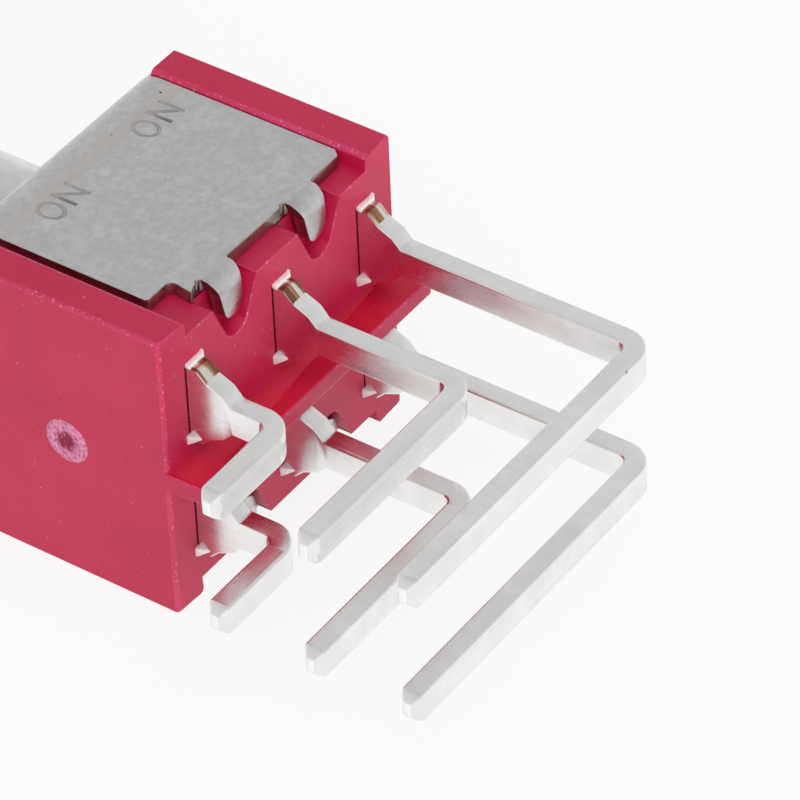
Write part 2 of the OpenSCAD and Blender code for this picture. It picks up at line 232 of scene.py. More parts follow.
def sleeve(name: str, sides: int, rings: Sequence[tuple[float, float]]) -> bpy.types.Object:
    """Draw out a closed sleeve round the Y axis.

    Args:
        name: The new object's name.
        sides: How many sides it has.
        rings: Radius and height of each ring round its wall, of which the last is the first again.

    Returns:
        The sleeve.
    """
    piece = open_ring(name, sides, *rings[0])
    draw_rings(rings)
    heal()
    return piece


def block(name: str, low: Vector, high: Vector) -> bpy.types.Object:
    """Add a cube between two corners.

    Args:
        name: The new object's name.
        low: The lowest corner.
        high: The highest corner.

    Returns:
        The new object, with its size and place in its mesh.
    """
    clear_selection()
    bpy.ops.mesh.primitive_cube_add(size=1, location=(low + high) / 2, scale=high - low)
    piece = bpy.context.object
    piece.name = name
    settle(piece)
    return piece


def settle(piece: bpy.types.Object) -> None:
    """Put a piece's place, turn and size into its mesh."""
    take(piece)
    bpy.ops.object.transform_apply(location=True, rotation=True, scale=True)


def join(name: str, pieces: Sequence[bpy.types.Object]) -> bpy.types.Object:
    """Join pieces into one object, which keeps the first one's place.

    Args:
        name: The joined object's name.
        pieces: The objects to join.

    Returns:
        The joined object.
    """
    clear_selection()
    for piece in pieces:
        piece.select_set(True)
    bpy.context.view_layer.objects.active = pieces[0]
    bpy.ops.object.join()
    pieces[0].name = name
    return pieces[0]


def solid_copy(node: str, name: str, weld: float = 0.0005 * MM,
               flat: float = math.radians(0.6)) -> bpy.types.Object:
    """Copy a solid of the frame into a piece of clean, merged faces.

    Args:
        node: The solid's node.
        name: The new piece's name.
        weld: The distance within which loose corners are merged.
        flat: The angle within which neighbouring faces become one.

    Returns:
        The new piece.
    """
    source = frame["nodes"][node]
    piece = bpy.data.objects.new(name, source.data.copy())
    bpy.context.scene.collection.objects.link(piece)
    piece.data.materials.clear()
    open_mesh(piece)
    bpy.ops.mesh.select_all(action="SELECT")
    bpy.ops.mesh.remove_doubles(threshold=weld)
    bpy.ops.mesh.dissolve_limited(angle_limit=flat)
    close_mesh()
    return piece


def own_copy(piece: bpy.types.Object, name: str, offset: Vector) -> bpy.types.Object:
    """Copy a piece, with a mesh of its own moved to a new place.

    Args:
        piece: The piece to copy.
        name: The copy's name.
        offset: How far the copy's mesh moves.

    Returns:
        The copy.
    """
    copy = bpy.data.objects.new(name, piece.data.copy())
    bpy.context.scene.collection.objects.link(copy)
    copy.data.transform(Matrix.Translation(offset))
    return copy


def round_edges(piece: bpy.types.Object, width: float, segments: int = 2, clamped: bool = True) -> None:
    """Round a piece's sharp edges with an applied bevel.

    Args:
        piece: The piece.
        width: Width of the rounding.
        segments: How many faces the rounding has.
        clamped: Whether short edges narrow the rounding.
    """
    take(piece)
    rounding = piece.modifiers.new("rounding", "BEVEL")
    rounding.width = width
    rounding.segments = segments
    rounding.limit_method = "ANGLE"
    rounding.angle_limit = SHARP
    rounding.use_clamp_overlap = clamped
    bpy.ops.object.modifier_apply(modifier=rounding.name)


def cut(piece: bpy.types.Object, cutter: bpy.types.Object) -> None:
    """Cut one piece out of another and throw the cutter away.

    Args:
        piece: The piece that is cut.
        cutter: The cutter.
    """
    take(piece)
    carve = piece.modifiers.new("carve", "BOOLEAN")
    carve.operation = "DIFFERENCE"
    carve.solver = "EXACT"
    carve.object = cutter
    bpy.ops.object.modifier_apply(modifier=carve.name)
    bpy.data.objects.remove(cutter)


def smooth(piece: bpy.types.Object, degrees: float = 34, flatness: int = 90) -> None:
    """Shade a piece smooth but for its sharp edges, with its flats kept flat.

    Args:
        piece: The piece.
        degrees: The angle from which an edge stays sharp.
        flatness: How strongly a wide face holds its own shading.
    """
    take(piece)
    bpy.ops.object.shade_smooth_by_angle(angle=math.radians(degrees))
    flats = piece.modifiers.new("flats", "WEIGHTED_NORMAL")
    flats.keep_sharp = True
    flats.weight = flatness
    bpy.ops.object.modifier_apply(modifier=flats.name)


def coat(piece: bpy.types.Object, *materials: bpy.types.Material) -> None:
    """Give a piece its materials, the first of which covers all faces that aren't given another."""
    for material in materials:
        piece.data.materials.append(material)


def mount(piece: bpy.types.Object, body: str, slot: str, *nodes: str) -> None:
    """Give a piece its body, hide the solids it stands for, and report it.

    Args:
        piece: The finished piece.
        body: The body that it rides on.
        slot: The material slot of the record that it is finished from; not used.
        *nodes: The solids that it stands for.
    """
    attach(piece, body)
    if nodes:
        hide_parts(*nodes)
    log.info("%s: %d faces, rides on %s", piece.name, len(piece.data.polygons), body)


# ---------------------------------------------------------------- finishes


class Shading:
    """A material's nodes, added and linked by short calls."""

    def __init__(self, name: str) -> None:
        """Start a material with one principled shader, a surface output and object coordinates.

        Args:
            name: The material's name.
        """
        self.material = bpy.data.materials.new(name)
        self.material.use_nodes = True
        self.tree = self.material.node_tree
        self.tree.nodes.clear()
        self.shader = self.tree.nodes.new("ShaderNodeBsdfPrincipled")
        self.output = self.tree.nodes.new("ShaderNodeOutputMaterial")
        self.place = self.tree.nodes.new("ShaderNodeTexCoord").outputs["Object"]
        self.tree.links.new(self.shader.outputs[0], self.output.inputs["Surface"])

    def link(self, source: bpy.types.NodeSocket, target: bpy.types.NodeSocket) -> None:
        """Link one socket to another."""
        self.tree.links.new(source, target)

    def stretched(self, scale: Vector) -> bpy.types.NodeSocket:
        """Give object coordinates multiplied along each axis.

        Args:
            scale: The factor along each axis, which draws a pattern out where it is below one.

        Returns:
            The coordinates.
        """
        mapping = self.tree.nodes.new("ShaderNodeMapping")
        mapping.inputs["Scale"].default_value = scale
        self.link(self.place, mapping.inputs["Vector"])
        return mapping.outputs[0]

    def noise(self, per_mm: float, detail: float = 3, roughness: float = 0.5,
              where: bpy.types.NodeSocket | None = None) -> bpy.types.NodeSocket:
        """Add a noise.

        Args:
            per_mm: Grains to a millimetre.
            detail: Octaves of finer grain.
            roughness: Strength of the finer grain.
            where: Coordinates other than the object's own.

        Returns:
            The noise's value.
        """
        grain = self.tree.nodes.new("ShaderNodeTexNoise")
        grain.inputs["Scale"].default_value = per_mm / MM
        grain.inputs["Detail"].default_value = detail
        grain.inputs["Roughness"].default_value = roughness
        self.link(where or self.place, grain.inputs["Vector"])
        return grain.outputs["Fac"]

    def specks(self, per_mm: float, where: bpy.types.NodeSocket | None = None) -> bpy.types.NodeSocket:
        """Add a pattern of scattered cells.

        Args:
            per_mm: Cells to a millimetre.
            where: Coordinates other than the object's own.

        Returns:
            The distance from the nearest cell's middle.
        """
        cells = self.tree.nodes.new("ShaderNodeTexVoronoi")
        cells.inputs["Scale"].default_value = per_mm / MM
        self.link(where or self.place, cells.inputs["Vector"])
        return cells.outputs["Distance"]

    def spread(self, value: bpy.types.NodeSocket, source: tuple[float, float],
               target: tuple[float, float]) -> bpy.types.NodeSocket:
        """Map a value from one range to another.

        Args:
            value: The value.
            source: The range it is taken from, and held within.
            target: The range it goes to.

        Returns:
            The mapped value.
        """
        ranger = self.tree.nodes.new("ShaderNodeMapRange")
        ranger.inputs["From Min"].default_value, ranger.inputs["From Max"].default_value = source
        ranger.inputs["To Min"].default_value, ranger.inputs["To Max"].default_value = target
        self.link(value, ranger.inputs["Value"])
        return ranger.outputs[0]

    def away_from(self, point: Sequence[float], scale: Sequence[float] = (1, 1, 1)) -> bpy.types.NodeSocket:
        """Give the distance from a point of the object.

        Args:
            point: The point, in millimetres.
            scale: Stretch along each axis before the distance is taken.

        Returns:
            The distance in millimetres.
        """
        mapping = self.tree.nodes.new("ShaderNodeMapping")
        mapping.vector_type = "POINT"
        mapping.inputs["Location"].default_value = [-at * by for at, by in zip(point, scale)]
        mapping.inputs["Scale"].default_value = [by / MM for by in scale]
        self.link(self.place, mapping.inputs["Vector"])
        length = self.tree.nodes.new("ShaderNodeVectorMath")
        length.operation = "LENGTH"
        self.link(mapping.outputs[0], length.inputs[0])
        return length.outputs["Value"]

    def math(self, operation: str, first: bpy.types.NodeSocket,
             second: bpy.types.NodeSocket | float) -> bpy.types.NodeSocket:
        """Join two values by an arithmetic operation.

        Args:
            operation: The operation's name.
            first: The first value.
            second: The second value, or a plain number.

        Returns:
            The result.
        """
        node = self.tree.nodes.new("ShaderNodeMath")
        node.operation = operation
        self.link(first, node.inputs[0])
        if isinstance(second, float):
            node.inputs[1].default_value = second
        else:
            self.link(second, node.inputs[1])
        return node.outputs[0]

    def blend(self, share: bpy.types.NodeSocket, first: Sequence[float] | bpy.types.NodeSocket,
              second: Sequence[float] | bpy.types.NodeSocket) -> bpy.types.NodeSocket:
        """Blend two colours.

        Args:
            share: The second colour's share.
            first: A colour, or the socket that gives one.
            second: A colour, or the socket that gives one.

        Returns:
            The blended colour.
        """
        mixer = self.tree.nodes.new("ShaderNodeMix")
        mixer.data_type = "RGBA"
        self.link(share, mixer.inputs["Factor"])
        colours = [socket for socket in mixer.inputs if socket.type == "RGBA"]
        for socket, colour in zip(colours, (first, second)):
            if isinstance(colour, bpy.types.NodeSocket):
                self.link(colour, socket)
            else:
                socket.default_value = (*colour, 1)
        return [socket for socket in mixer.outputs if socket.type == "RGBA"][0]

    def bump(self, height: bpy.types.NodeSocket, depth: float, strength: float = 1) -> None:
        """Raise the surface by a height, on top of any bump there is already.

        Args:
            height: The pattern of the height, from nought to one.
            depth: The real height of its full range.
            strength: The bump's share of that height.
        """
        node = self.tree.nodes.new("ShaderNodeBump")
        node.inputs["Strength"].default_value = strength
        node.inputs["Distance"].default_value = depth
        self.link(height, node.inputs["Height"])
        normal = self.shader.inputs["Normal"]
        if normal.is_linked:
            self.link(normal.links[0].from_socket, node.inputs["Normal"])
        self.link(node.outputs[0], normal)


@dataclass(frozen=True)
class MouldedPlastic:
    """Glossy crimson thermoset of the case, with faint flow marks, fine grain and pale flecks."""

    name: str = "crimson_moulding"
    colour: tuple[float, float, float] = (0.57, 0.0095, 0.073)
    deep: tuple[float, float, float] = (0.51, 0.007, 0.056)
    fleck: tuple[float, float, float] = (0.74, 0.22, 0.34)
    roughness: float = 0.42
    flecks: tuple[float, float] = (0.74, 0.78)
    flecks_per_mm: float = 7
    gloss: float = 0.5
    grain_per_mm: float = 14
    grain_height: float = 0.002 * MM
    sink_per_mm: float = 1.1
    sink_height: float = 0.012 * MM

    def build(self) -> bpy.types.Material:
        """Make the material.

        Returns:
            The material.
        """
        s = Shading(self.name)
        flow = s.noise(0.45, 4, 0.55)
        base = s.blend(s.spread(flow, (0.3, 0.72), (0, 1)), self.deep, self.colour)
        chips = s.spread(s.noise(self.flecks_per_mm, 2, 0.5), self.flecks, (0, 1))
        s.link(s.blend(chips, base, self.fleck), s.shader.inputs["Base Color"])
        grain = s.noise(self.grain_per_mm, 3, 0.6)
        s.link(s.spread(grain, (0.3, 0.7), (self.roughness - 0.06, self.roughness + 0.08)),
               s.shader.inputs["Roughness"])
        s.bump(grain, self.grain_height)
        s.bump(s.noise(self.sink_per_mm, 3, 0.5), self.sink_height)
        s.shader.inputs["Specular IOR Level"].default_value = self.gloss
        return s.material


@dataclass(frozen=True)
class TornPlastic:
    """Pale, whitened ring of a broken-off gate, round a darker torn heart."""

    middle: tuple[float, float, float]
    radius: float
    name: str = "torn_gate"
    pale: tuple[float, float, float] = (0.74, 0.29, 0.46)
    blush: tuple[float, float, float] = (0.54, 0.075, 0.20)
    torn: tuple[float, float, float] = (0.28, 0.010, 0.055)
    heart: tuple[float, float] = (0.74, 0.90)
    wander: float = 0.7
    roughness: float = 0.6
    relief: float = 0.03 * MM

    def build(self) -> bpy.types.Material:
        """Make the material.

        Returns:
            The material.
        """
        s = Shading(self.name)
        flecks = s.noise(8, 4, 0.65)
        ring = s.blend(s.spread(flecks, (0.38, 0.54), (0, 1)), self.blush, self.pale)
        heart = s.blend(s.spread(s.noise(4, 4, 0.7), (0.52, 0.64), (0, 1)), self.torn, self.pale)
        wander = s.math("MULTIPLY", s.noise(2.2, 3, 0.7), self.wander * self.radius)
        reach = s.math("ADD", s.away_from(self.middle), wander)
        near, far = self.heart
        split = s.spread(reach, (near * self.radius, far * self.radius), (0, 1))
        s.link(s.blend(split, heart, ring), s.shader.inputs["Base Color"])
        s.shader.inputs["Roughness"].default_value = self.roughness
        s.bump(flecks, self.relief)
        return s.material


@dataclass(frozen=True)
class StampedSteel:
    """Satin plated sheet steel, with rolled grain, dull blotches, painted shade for dents, pits and a tan
    band.
    """

    name: str = "satin_sheet"
    colour: tuple[float, float, float] = (0.70, 0.69, 0.695)
    dull: tuple[float, float, float] = (0.61, 0.60, 0.60)
    pit: tuple[float, float, float] = (0.05, 0.045, 0.04)
    nick: tuple[float, float, float] = (4.26, -1.42, 5.6)
    tan: tuple[float, float, float] = (0.59, 0.56, 0.53)
    tan_y: float = -1.6
    dent_shade: float = 0.87
    roughness: float = Coat.SATIN.value
    rolling: tuple[float, float, float] = (1, 0.25, 1)
    grain_height: float = 0.0012 * MM
    blotch_height: float = 0.013 * MM

    def build(self) -> bpy.types.Material:
        """Make the material.

        Returns:
            The material.
        """
        s = Shading(self.name)
        blotch = s.noise(1.5, 5, 0.6)
        tone = s.blend(s.spread(blotch, (0.35, 0.7), (0, 1)), self.dull, self.colour)
        # Painted shade: darker patches where the sheet looks dented, in colour only.
        shade = tuple(self.dent_shade * part for part in self.dull)
        tone = s.blend(s.spread(s.noise(4.0, 3, 0.6), (0.40, 0.60), (0.6, 0)), tone, shade)
        pits = s.math("MULTIPLY", s.spread(s.specks(1.3), (0.07, 0.04), (0, 1)),
                      s.spread(s.noise(0.55, 2), (0.60, 0.66), (0, 1)))
        nick = s.spread(s.away_from(self.nick), (0.055, 0.035), (0, 1))
        band = s.spread(s.away_from((0, self.tan_y, 0), (0, 1, 0)), (0.12, 0.5), (0.6, 0))
        s.link(s.blend(s.math("MAXIMUM", pits, nick), s.blend(band, tone, self.tan), self.pit),
               s.shader.inputs["Base Color"])
        s.shader.inputs["Metallic"].default_value = 1
        grain = s.noise(6, 4, 0.65, s.stretched(Vector(self.rolling)))
        s.link(s.spread(grain, (0.3, 0.7), (self.roughness - 0.08, self.roughness + 0.1)),
               s.shader.inputs["Roughness"])
        s.bump(grain, self.grain_height)
        s.bump(blotch, self.blotch_height)
        return s.material


@dataclass(frozen=True)
class PlatedMetal:
    """A plated metal with fine scratches along one axis, faint tarnish and one dark nick."""

    name: str
    colour: tuple[float, float, float]
    tarnish: tuple[float, float, float]
    roughness: float
    run: tuple[float, float, float] = (1, 1, 1)
    wear: float = 0.0004 * MM
    metallic: float = 1.0
    nick: tuple[float, float, float] = (3.19, -20.46, 2.98)
    bared: tuple[float, float, float] = (0.06, 0.06, 0.07)
    swell: float = 0.004 * MM

    def build(self) -> bpy.types.Material:
        """Make the material.

        Returns:
            The material.
        """
        s = Shading(self.name)
        cloud = s.noise(0.9, 4, 0.6)
        tone = s.blend(s.spread(cloud, (0.38, 0.68), (1, 0)), self.colour, self.tarnish)
        nick = s.spread(s.away_from(self.nick), (0.10, 0.05), (0, 1))
        s.link(s.blend(nick, tone, self.bared), s.shader.inputs["Base Color"])
        s.shader.inputs["Metallic"].default_value = self.metallic
        scratch = s.noise(8, 4, 0.6, s.stretched(Vector(self.run)))
        s.link(s.spread(scratch, (0.3, 0.7), (self.roughness - 0.04, self.roughness + 0.05)),
               s.shader.inputs["Roughness"])
        s.bump(scratch, self.wear)
        s.bump(cloud, self.swell)
        return s.material


@dataclass(frozen=True)
class ShearedCopper:
    """Bare copper alloy of a sheared edge, streaked along the shear."""

    name: str = "sheared_copper"
    copper: tuple[float, float, float] = (0.58, 0.30, 0.17)
    smear: tuple[float, float, float] = (0.86, 0.83, 0.78)
    dark: tuple[float, float, float] = (0.24, 0.12, 0.07)
    shear: tuple[float, float, float] = (1, 0.07, 0.07)
    roughness: float = 0.32
    relief: float = 0.03 * MM

    def build(self) -> bpy.types.Material:
        """Make the material.

        Returns:
            The material.
        """
        s = Shading(self.name)
        streaks = s.noise(5, 3, 0.5, s.stretched(Vector(self.shear)))
        base = s.blend(s.spread(streaks, (0.40, 0.50), (0, 1)), self.dark, self.copper)
        s.link(s.blend(s.spread(streaks, (0.50, 0.56), (0, 1)), base, self.smear),
               s.shader.inputs["Base Color"])
        s.shader.inputs["Metallic"].default_value = 1
        s.shader.inputs["Roughness"].default_value = self.roughness
        s.bump(streaks, self.relief)
        return s.material


@dataclass(frozen=True)
class Nylon:
    """Off-white moulded nylon of the plunger."""

    name: str = "natural_nylon"
    colour: tuple[float, float, float] = (0.70, 0.66, 0.55)
    shade: tuple[float, float, float] = (0.60, 0.55, 0.44)
    roughness: float = 0.45
    depth_share: float = 0.05
    depth: float = 0.5 * MM
    grain_height: float = 0.004 * MM

    def build(self) -> bpy.types.Material:
        """Make the material.

        Returns:
            The material.
        """
        s = Shading(self.name)
        cloud = s.noise(1.2, 3)
        s.link(s.blend(s.spread(cloud, (0.35, 0.65), (0, 1)), self.shade, self.colour),
               s.shader.inputs["Base Color"])
        s.shader.inputs["Roughness"].default_value = self.roughness
        s.shader.inputs["Subsurface Weight"].default_value = self.depth_share
        s.shader.inputs["Subsurface Scale"].default_value = self.depth
        s.bump(s.noise(10, 3), self.grain_height)
        return s.material


@dataclass(frozen=True)
class BenchTop:
    """White sheet that the switch lies on, which shows white and keeps a soft shadow."""

    name: str = "bench_top"
    white: float = 0.94
    glow: float = 0.86
    smudge: float = 0.02
    roughness: float = 0.8

    def build(self) -> bpy.types.Material:
        """Make the material.

        Returns:
            The material.
        """
        s = Shading(self.name)
        smudge = s.noise(0.05, 4, 0.6)
        dim, white = (self.white - self.smudge,) * 3, (self.white,) * 3
        tone = s.blend(s.spread(smudge, (0.3, 0.7), (0, 1)), dim, white)
        s.link(tone, s.shader.inputs["Base Color"])
        s.shader.inputs["Roughness"].default_value = self.roughness
        s.shader.inputs["Specular IOR Level"].default_value = 0.0
        shine = s.tree.nodes.new("ShaderNodeEmission")
        mixer = s.tree.nodes.new("ShaderNodeMixShader")
        ray = s.tree.nodes.new("ShaderNodeLightPath")
        seen = s.math("MAXIMUM", ray.outputs["Is Camera Ray"], ray.outputs["Is Glossy Ray"])
        s.link(s.math("MULTIPLY", seen, self.glow), mixer.inputs[0])
        s.link(s.shader.outputs[0], mixer.inputs[1])
        s.link(shine.outputs[0], mixer.inputs[2])
        s.link(mixer.outputs[0], s.output.inputs["Surface"])
        return s.material


class Finishes:
    """Every finish of the switch, each made once."""

    def __init__(self) -> None:
        """Make the materials."""
        silver, tarnish = (0.93, 0.93, 0.925), (0.85, 0.85, 0.84)
        self.case = MouldedPlastic().build()
        # Lighter, pinker plastic for the rounded outer edges: partly real edge wear with pale flecks, partly
        # a painted highlight along the edges.
        self.case_edge_wear_and_highlight = MouldedPlastic(
            "crimson_edge_wear_and_painted_highlight", colour=(0.61, 0.040, 0.13), deep=(0.56, 0.017, 0.085),
            fleck=(0.72, 0.22, 0.34), roughness=0.38, flecks=(0.58, 0.74), flecks_per_mm=9).build()
        # Brighter, more vivid red for the barrier ledge's flat faces: painted light, standing in for light
        # that passes through and bounces in the plastic there.
        self.case_ledge_painted_light = MouldedPlastic(
            "crimson_ledge_painted_light", colour=(0.68, 0.006, 0.045), deep=(0.63, 0.005, 0.036),
            roughness=0.46, gloss=0.4).build()
        self.sheet_edge = StampedSteel(
            "sheared_steel", colour=(0.52, 0.48, 0.43), dull=(0.36, 0.32, 0.27),
            pit=(0.05, 0.04, 0.03)).build()
        # Darker steel for the faces inside the stamped letters: painted shade in the grooves.
        self.groove_shade = StampedSteel(
            "stamped_groove_painted_shade", colour=(0.54, 0.53, 0.53), dull=(0.47, 0.46, 0.46)).build()
        # Near-white, almost unmetallic plating: on the pin tips a painted highlight, on the root lips and
        # wedges partly torn bright metal and partly painted sheen.
        self.torn_tin_and_painted_highlight = PlatedMetal(
            "torn_plating_and_painted_highlight", colour=(0.98, 0.98, 0.98), tarnish=(0.95, 0.95, 0.95),
            roughness=Coat.SATIN.value, wear=0.003 * MM, metallic=0.12).build()
        self.sheet = StampedSteel().build()
        self.bushing = PlatedMetal(
            "bright_bushing", colour=(0.74, 0.74, 0.73), tarnish=(0.65, 0.65, 0.64),
            roughness=Coat.SOFT.value, run=(1, 0.3, 1)).build()
        self.lever = PlatedMetal(
            "bright_lever", colour=(0.74, 0.74, 0.73), tarnish=(0.66, 0.66, 0.65),
            roughness=Coat.BRIGHT.value, run=(1, 0.4, 1), wear=0.002 * MM).build()
        self.terminal = PlatedMetal(
            "plated_terminal", silver, tarnish, roughness=Coat.SOFT.value, run=(1, 0.15, 1)).build()
        self.pin = PlatedMetal(
            "plated_pin", silver, tarnish, roughness=Coat.SOFT.value, run=(0.15, 1, 1)).build()
        self.sheared = ShearedCopper().build()
        self.contact = PlatedMetal(
            "contact_silver", colour=(0.85, 0.84, 0.82), tarnish=(0.66, 0.63, 0.58),
            roughness=Coat.SATIN.value).build()
        self.blade = PlatedMetal(
            "rocker_copper", colour=(0.78, 0.55, 0.36), tarnish=(0.66, 0.42, 0.26),
            roughness=Coat.SOFT.value, run=(0.3, 1, 1)).build()
        self.steel = PlatedMetal(
            "spring_steel", colour=(0.55, 0.55, 0.56), tarnish=(0.42, 0.41, 0.41),
            roughness=Coat.SOFT.value, run=(1, 1, 0.3)).build()
        self.nylon = Nylon().build()


# ---------------------------------------------------------------- sub-assemblies


@dataclass
class Case:
    """The moulded case, with its gate mark."""

    outer_round: float = 0.12 * MM
    ledge_round: float = 0.12 * MM
    mouth_round: float = 0.05 * MM
    gate_radius: float = 0.84 * MM
    gate_rise: float = 0.045 * MM
    gate_drop: float = 4.62 * MM
    gate_z: float = -0.12 * MM
    gate_sides: int = 40
    gate_rings: tuple[tuple[float, float], ...] = (
        (0.07 * MM, 0.9), (0.11 * MM, 0.5), (0.12 * MM, -0.1), (0.10 * MM, -0.7), (0.12 * MM, -0.2),
        (0.12 * MM, 0.1))
    gate_torn: float = 0.01 * MM
    height: float = 8.7 * MM
    end_band: float = 0.16 * MM
    end_wall: float = 0.3 * MM
    ledge_half: float = 0.36 * MM
    ledge_start: float = 0.3 * MM
    notch_top: float = 1.0 * MM
    notch_floor: float = 0.1 * MM
    slot_columns: tuple[float, float] = (0, 4.7 * MM)
    slot_half: float = 0.5 * MM
    slot_reach: float = 4.1 * MM
    shortest_edge: float = 2.2
    level: float = 0.985

    def __post_init__(self) -> None:
        """Read the case's box from the frame, and find the height of its terminal face."""
        self.low, self.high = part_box("case")
        self.face_y = self.high.y - self.height

    def outer_edge(self, a: Vector, b: Vector) -> bool:
        """Tell whether an edge bounds the case's ends, rims or terminal face.

        Args:
            a: One end of the edge.
            b: Its other end.

        Returns:
            Whether it does.
        """
        on_end = min(abs(a.x), abs(b.x)) > self.high.x - self.end_band and a.x * b.x > 0
        clear_of_ledge = min(abs(a.z), abs(b.z)) > self.ledge_half and min(a.y, b.y) > self.face_y - SLACK
        return on_end and clear_of_ledge

    def ledge_edge(self, a: Vector, b: Vector) -> bool:
        """Tell whether an edge bounds the barrier ledge's far side or ends."""
        return max(abs(a.z), abs(b.z)) < self.ledge_half and min(a.y, b.y) < self.face_y - self.ledge_start

    def mouth_edge(self, a: Vector, b: Vector) -> bool:
        """Tell whether an edge bounds a notch, or the rim or face round it, and not a terminal's slot.

        Args:
            a: One end of the edge.
            b: Its other end.

        Returns:
            Whether it does, and is long enough to be rounded.
        """
        inside = max(abs(a.x), abs(b.x)) < self.high.x - self.end_wall
        on_rim = min(abs(a.z), abs(b.z)) > self.high.z - SLACK
        low = max(a.y, b.y) < self.face_y + self.notch_top and min(a.y, b.y) > self.face_y - self.notch_floor
        aside = min(abs(abs(at.x) - column) for at in (a, b) for column in self.slot_columns)
        flat = max(a.y, b.y) < self.face_y + SLACK
        slot = aside < self.slot_half and flat and max(abs(a.z), abs(b.z)) < self.slot_reach
        long = (a - b).length > self.shortest_edge * self.mouth_round
        return inside and (on_rim or low) and not slot and long

    def shell(self, finishes: Finishes) -> bpy.types.Object:
        """Round the case's edges, widely outside and finely in the notches.

        Args:
            finishes: The switch's finishes.

        Returns:
            The case.
        """
        piece = solid_copy("case", "case_shell")
        rounds = ((self.outer_edge, self.outer_round, 4), (self.ledge_edge, self.ledge_round, 3),
                  (self.mouth_edge, self.mouth_round, 2))
        for test, width, segments in rounds:
            open_mesh(piece)
            count = select_edges(piece, test)
            bpy.ops.mesh.bevel(offset=width, segments=segments, affect="EDGES", clamp_overlap=False)
            close_mesh()
            log.info("case_shell: %d edges rounded by %.2f mm", count, width / MM)
        coat(piece, finishes.case, finishes.case_edge_wear_and_highlight, finishes.case_ledge_painted_light)
        rim = self.outer_round + 2 * SLACK
        for face in piece.data.polygons:
            at, normal = face.center, face.normal
            slanted = max(map(abs, normal)) < self.level
            outside = abs(at.x) > self.high.x - rim or abs(at.z) > self.high.z - rim
            low = at.y < self.face_y + rim
            on_ledge = at.y < self.face_y - 2 * SLACK and abs(at.z) < self.ledge_half
            # Flat faces of the ledge take the brighter red of painted light.
            if on_ledge and abs(normal.z) > FACING:
                face.material_index = 2
            # Slanted faces of the rounded outer edges take the lighter edge plastic, partly wear and partly a
            # painted highlight.
            elif slanted and (outside or low):
                face.material_index = 1
        smooth(piece)
        mount(piece, "housing", "case", "case")
        return piece

    def gate_mark(self) -> bpy.types.Object:
        """Make the torn mark of the moulding gate on the case's end.

        Returns:
            The mark, a raised ring round a sunken heart.
        """
        clear_selection()
        middle = Vector((self.low.x, self.high.y - self.gate_drop, self.gate_z))
        bpy.ops.mesh.primitive_circle_add(vertices=self.gate_sides, radius=self.gate_radius, fill_type="NGON",
                                          location=middle, rotation=(0, -math.pi / 2, 0))
        piece = bpy.context.object
        piece.name = "gate_mark"
        settle(piece)
        open_mesh(piece)
        bpy.ops.mesh.select_all(action="SELECT")
        for inset, rise in self.gate_rings:
            bpy.ops.mesh.inset(thickness=inset, depth=rise * self.gate_rise)
        bpy.ops.mesh.poke()
        bpy.ops.mesh.select_all(action="SELECT")
        bpy.ops.mesh.subdivide(number_cuts=1)
        select_faces(piece, lambda at, _: (at - middle).length < self.gate_radius - 5 * SLACK)
        bpy.ops.transform.vertex_random(offset=self.gate_torn, uniform=0.6, normal=0.4, seed=4)
        close_mesh()
        coat(piece, TornPlastic(tuple(middle / MM), self.gate_radius / MM).build())
        smooth(piece, 60)
        mount(piece, "housing", "case")
        return piece


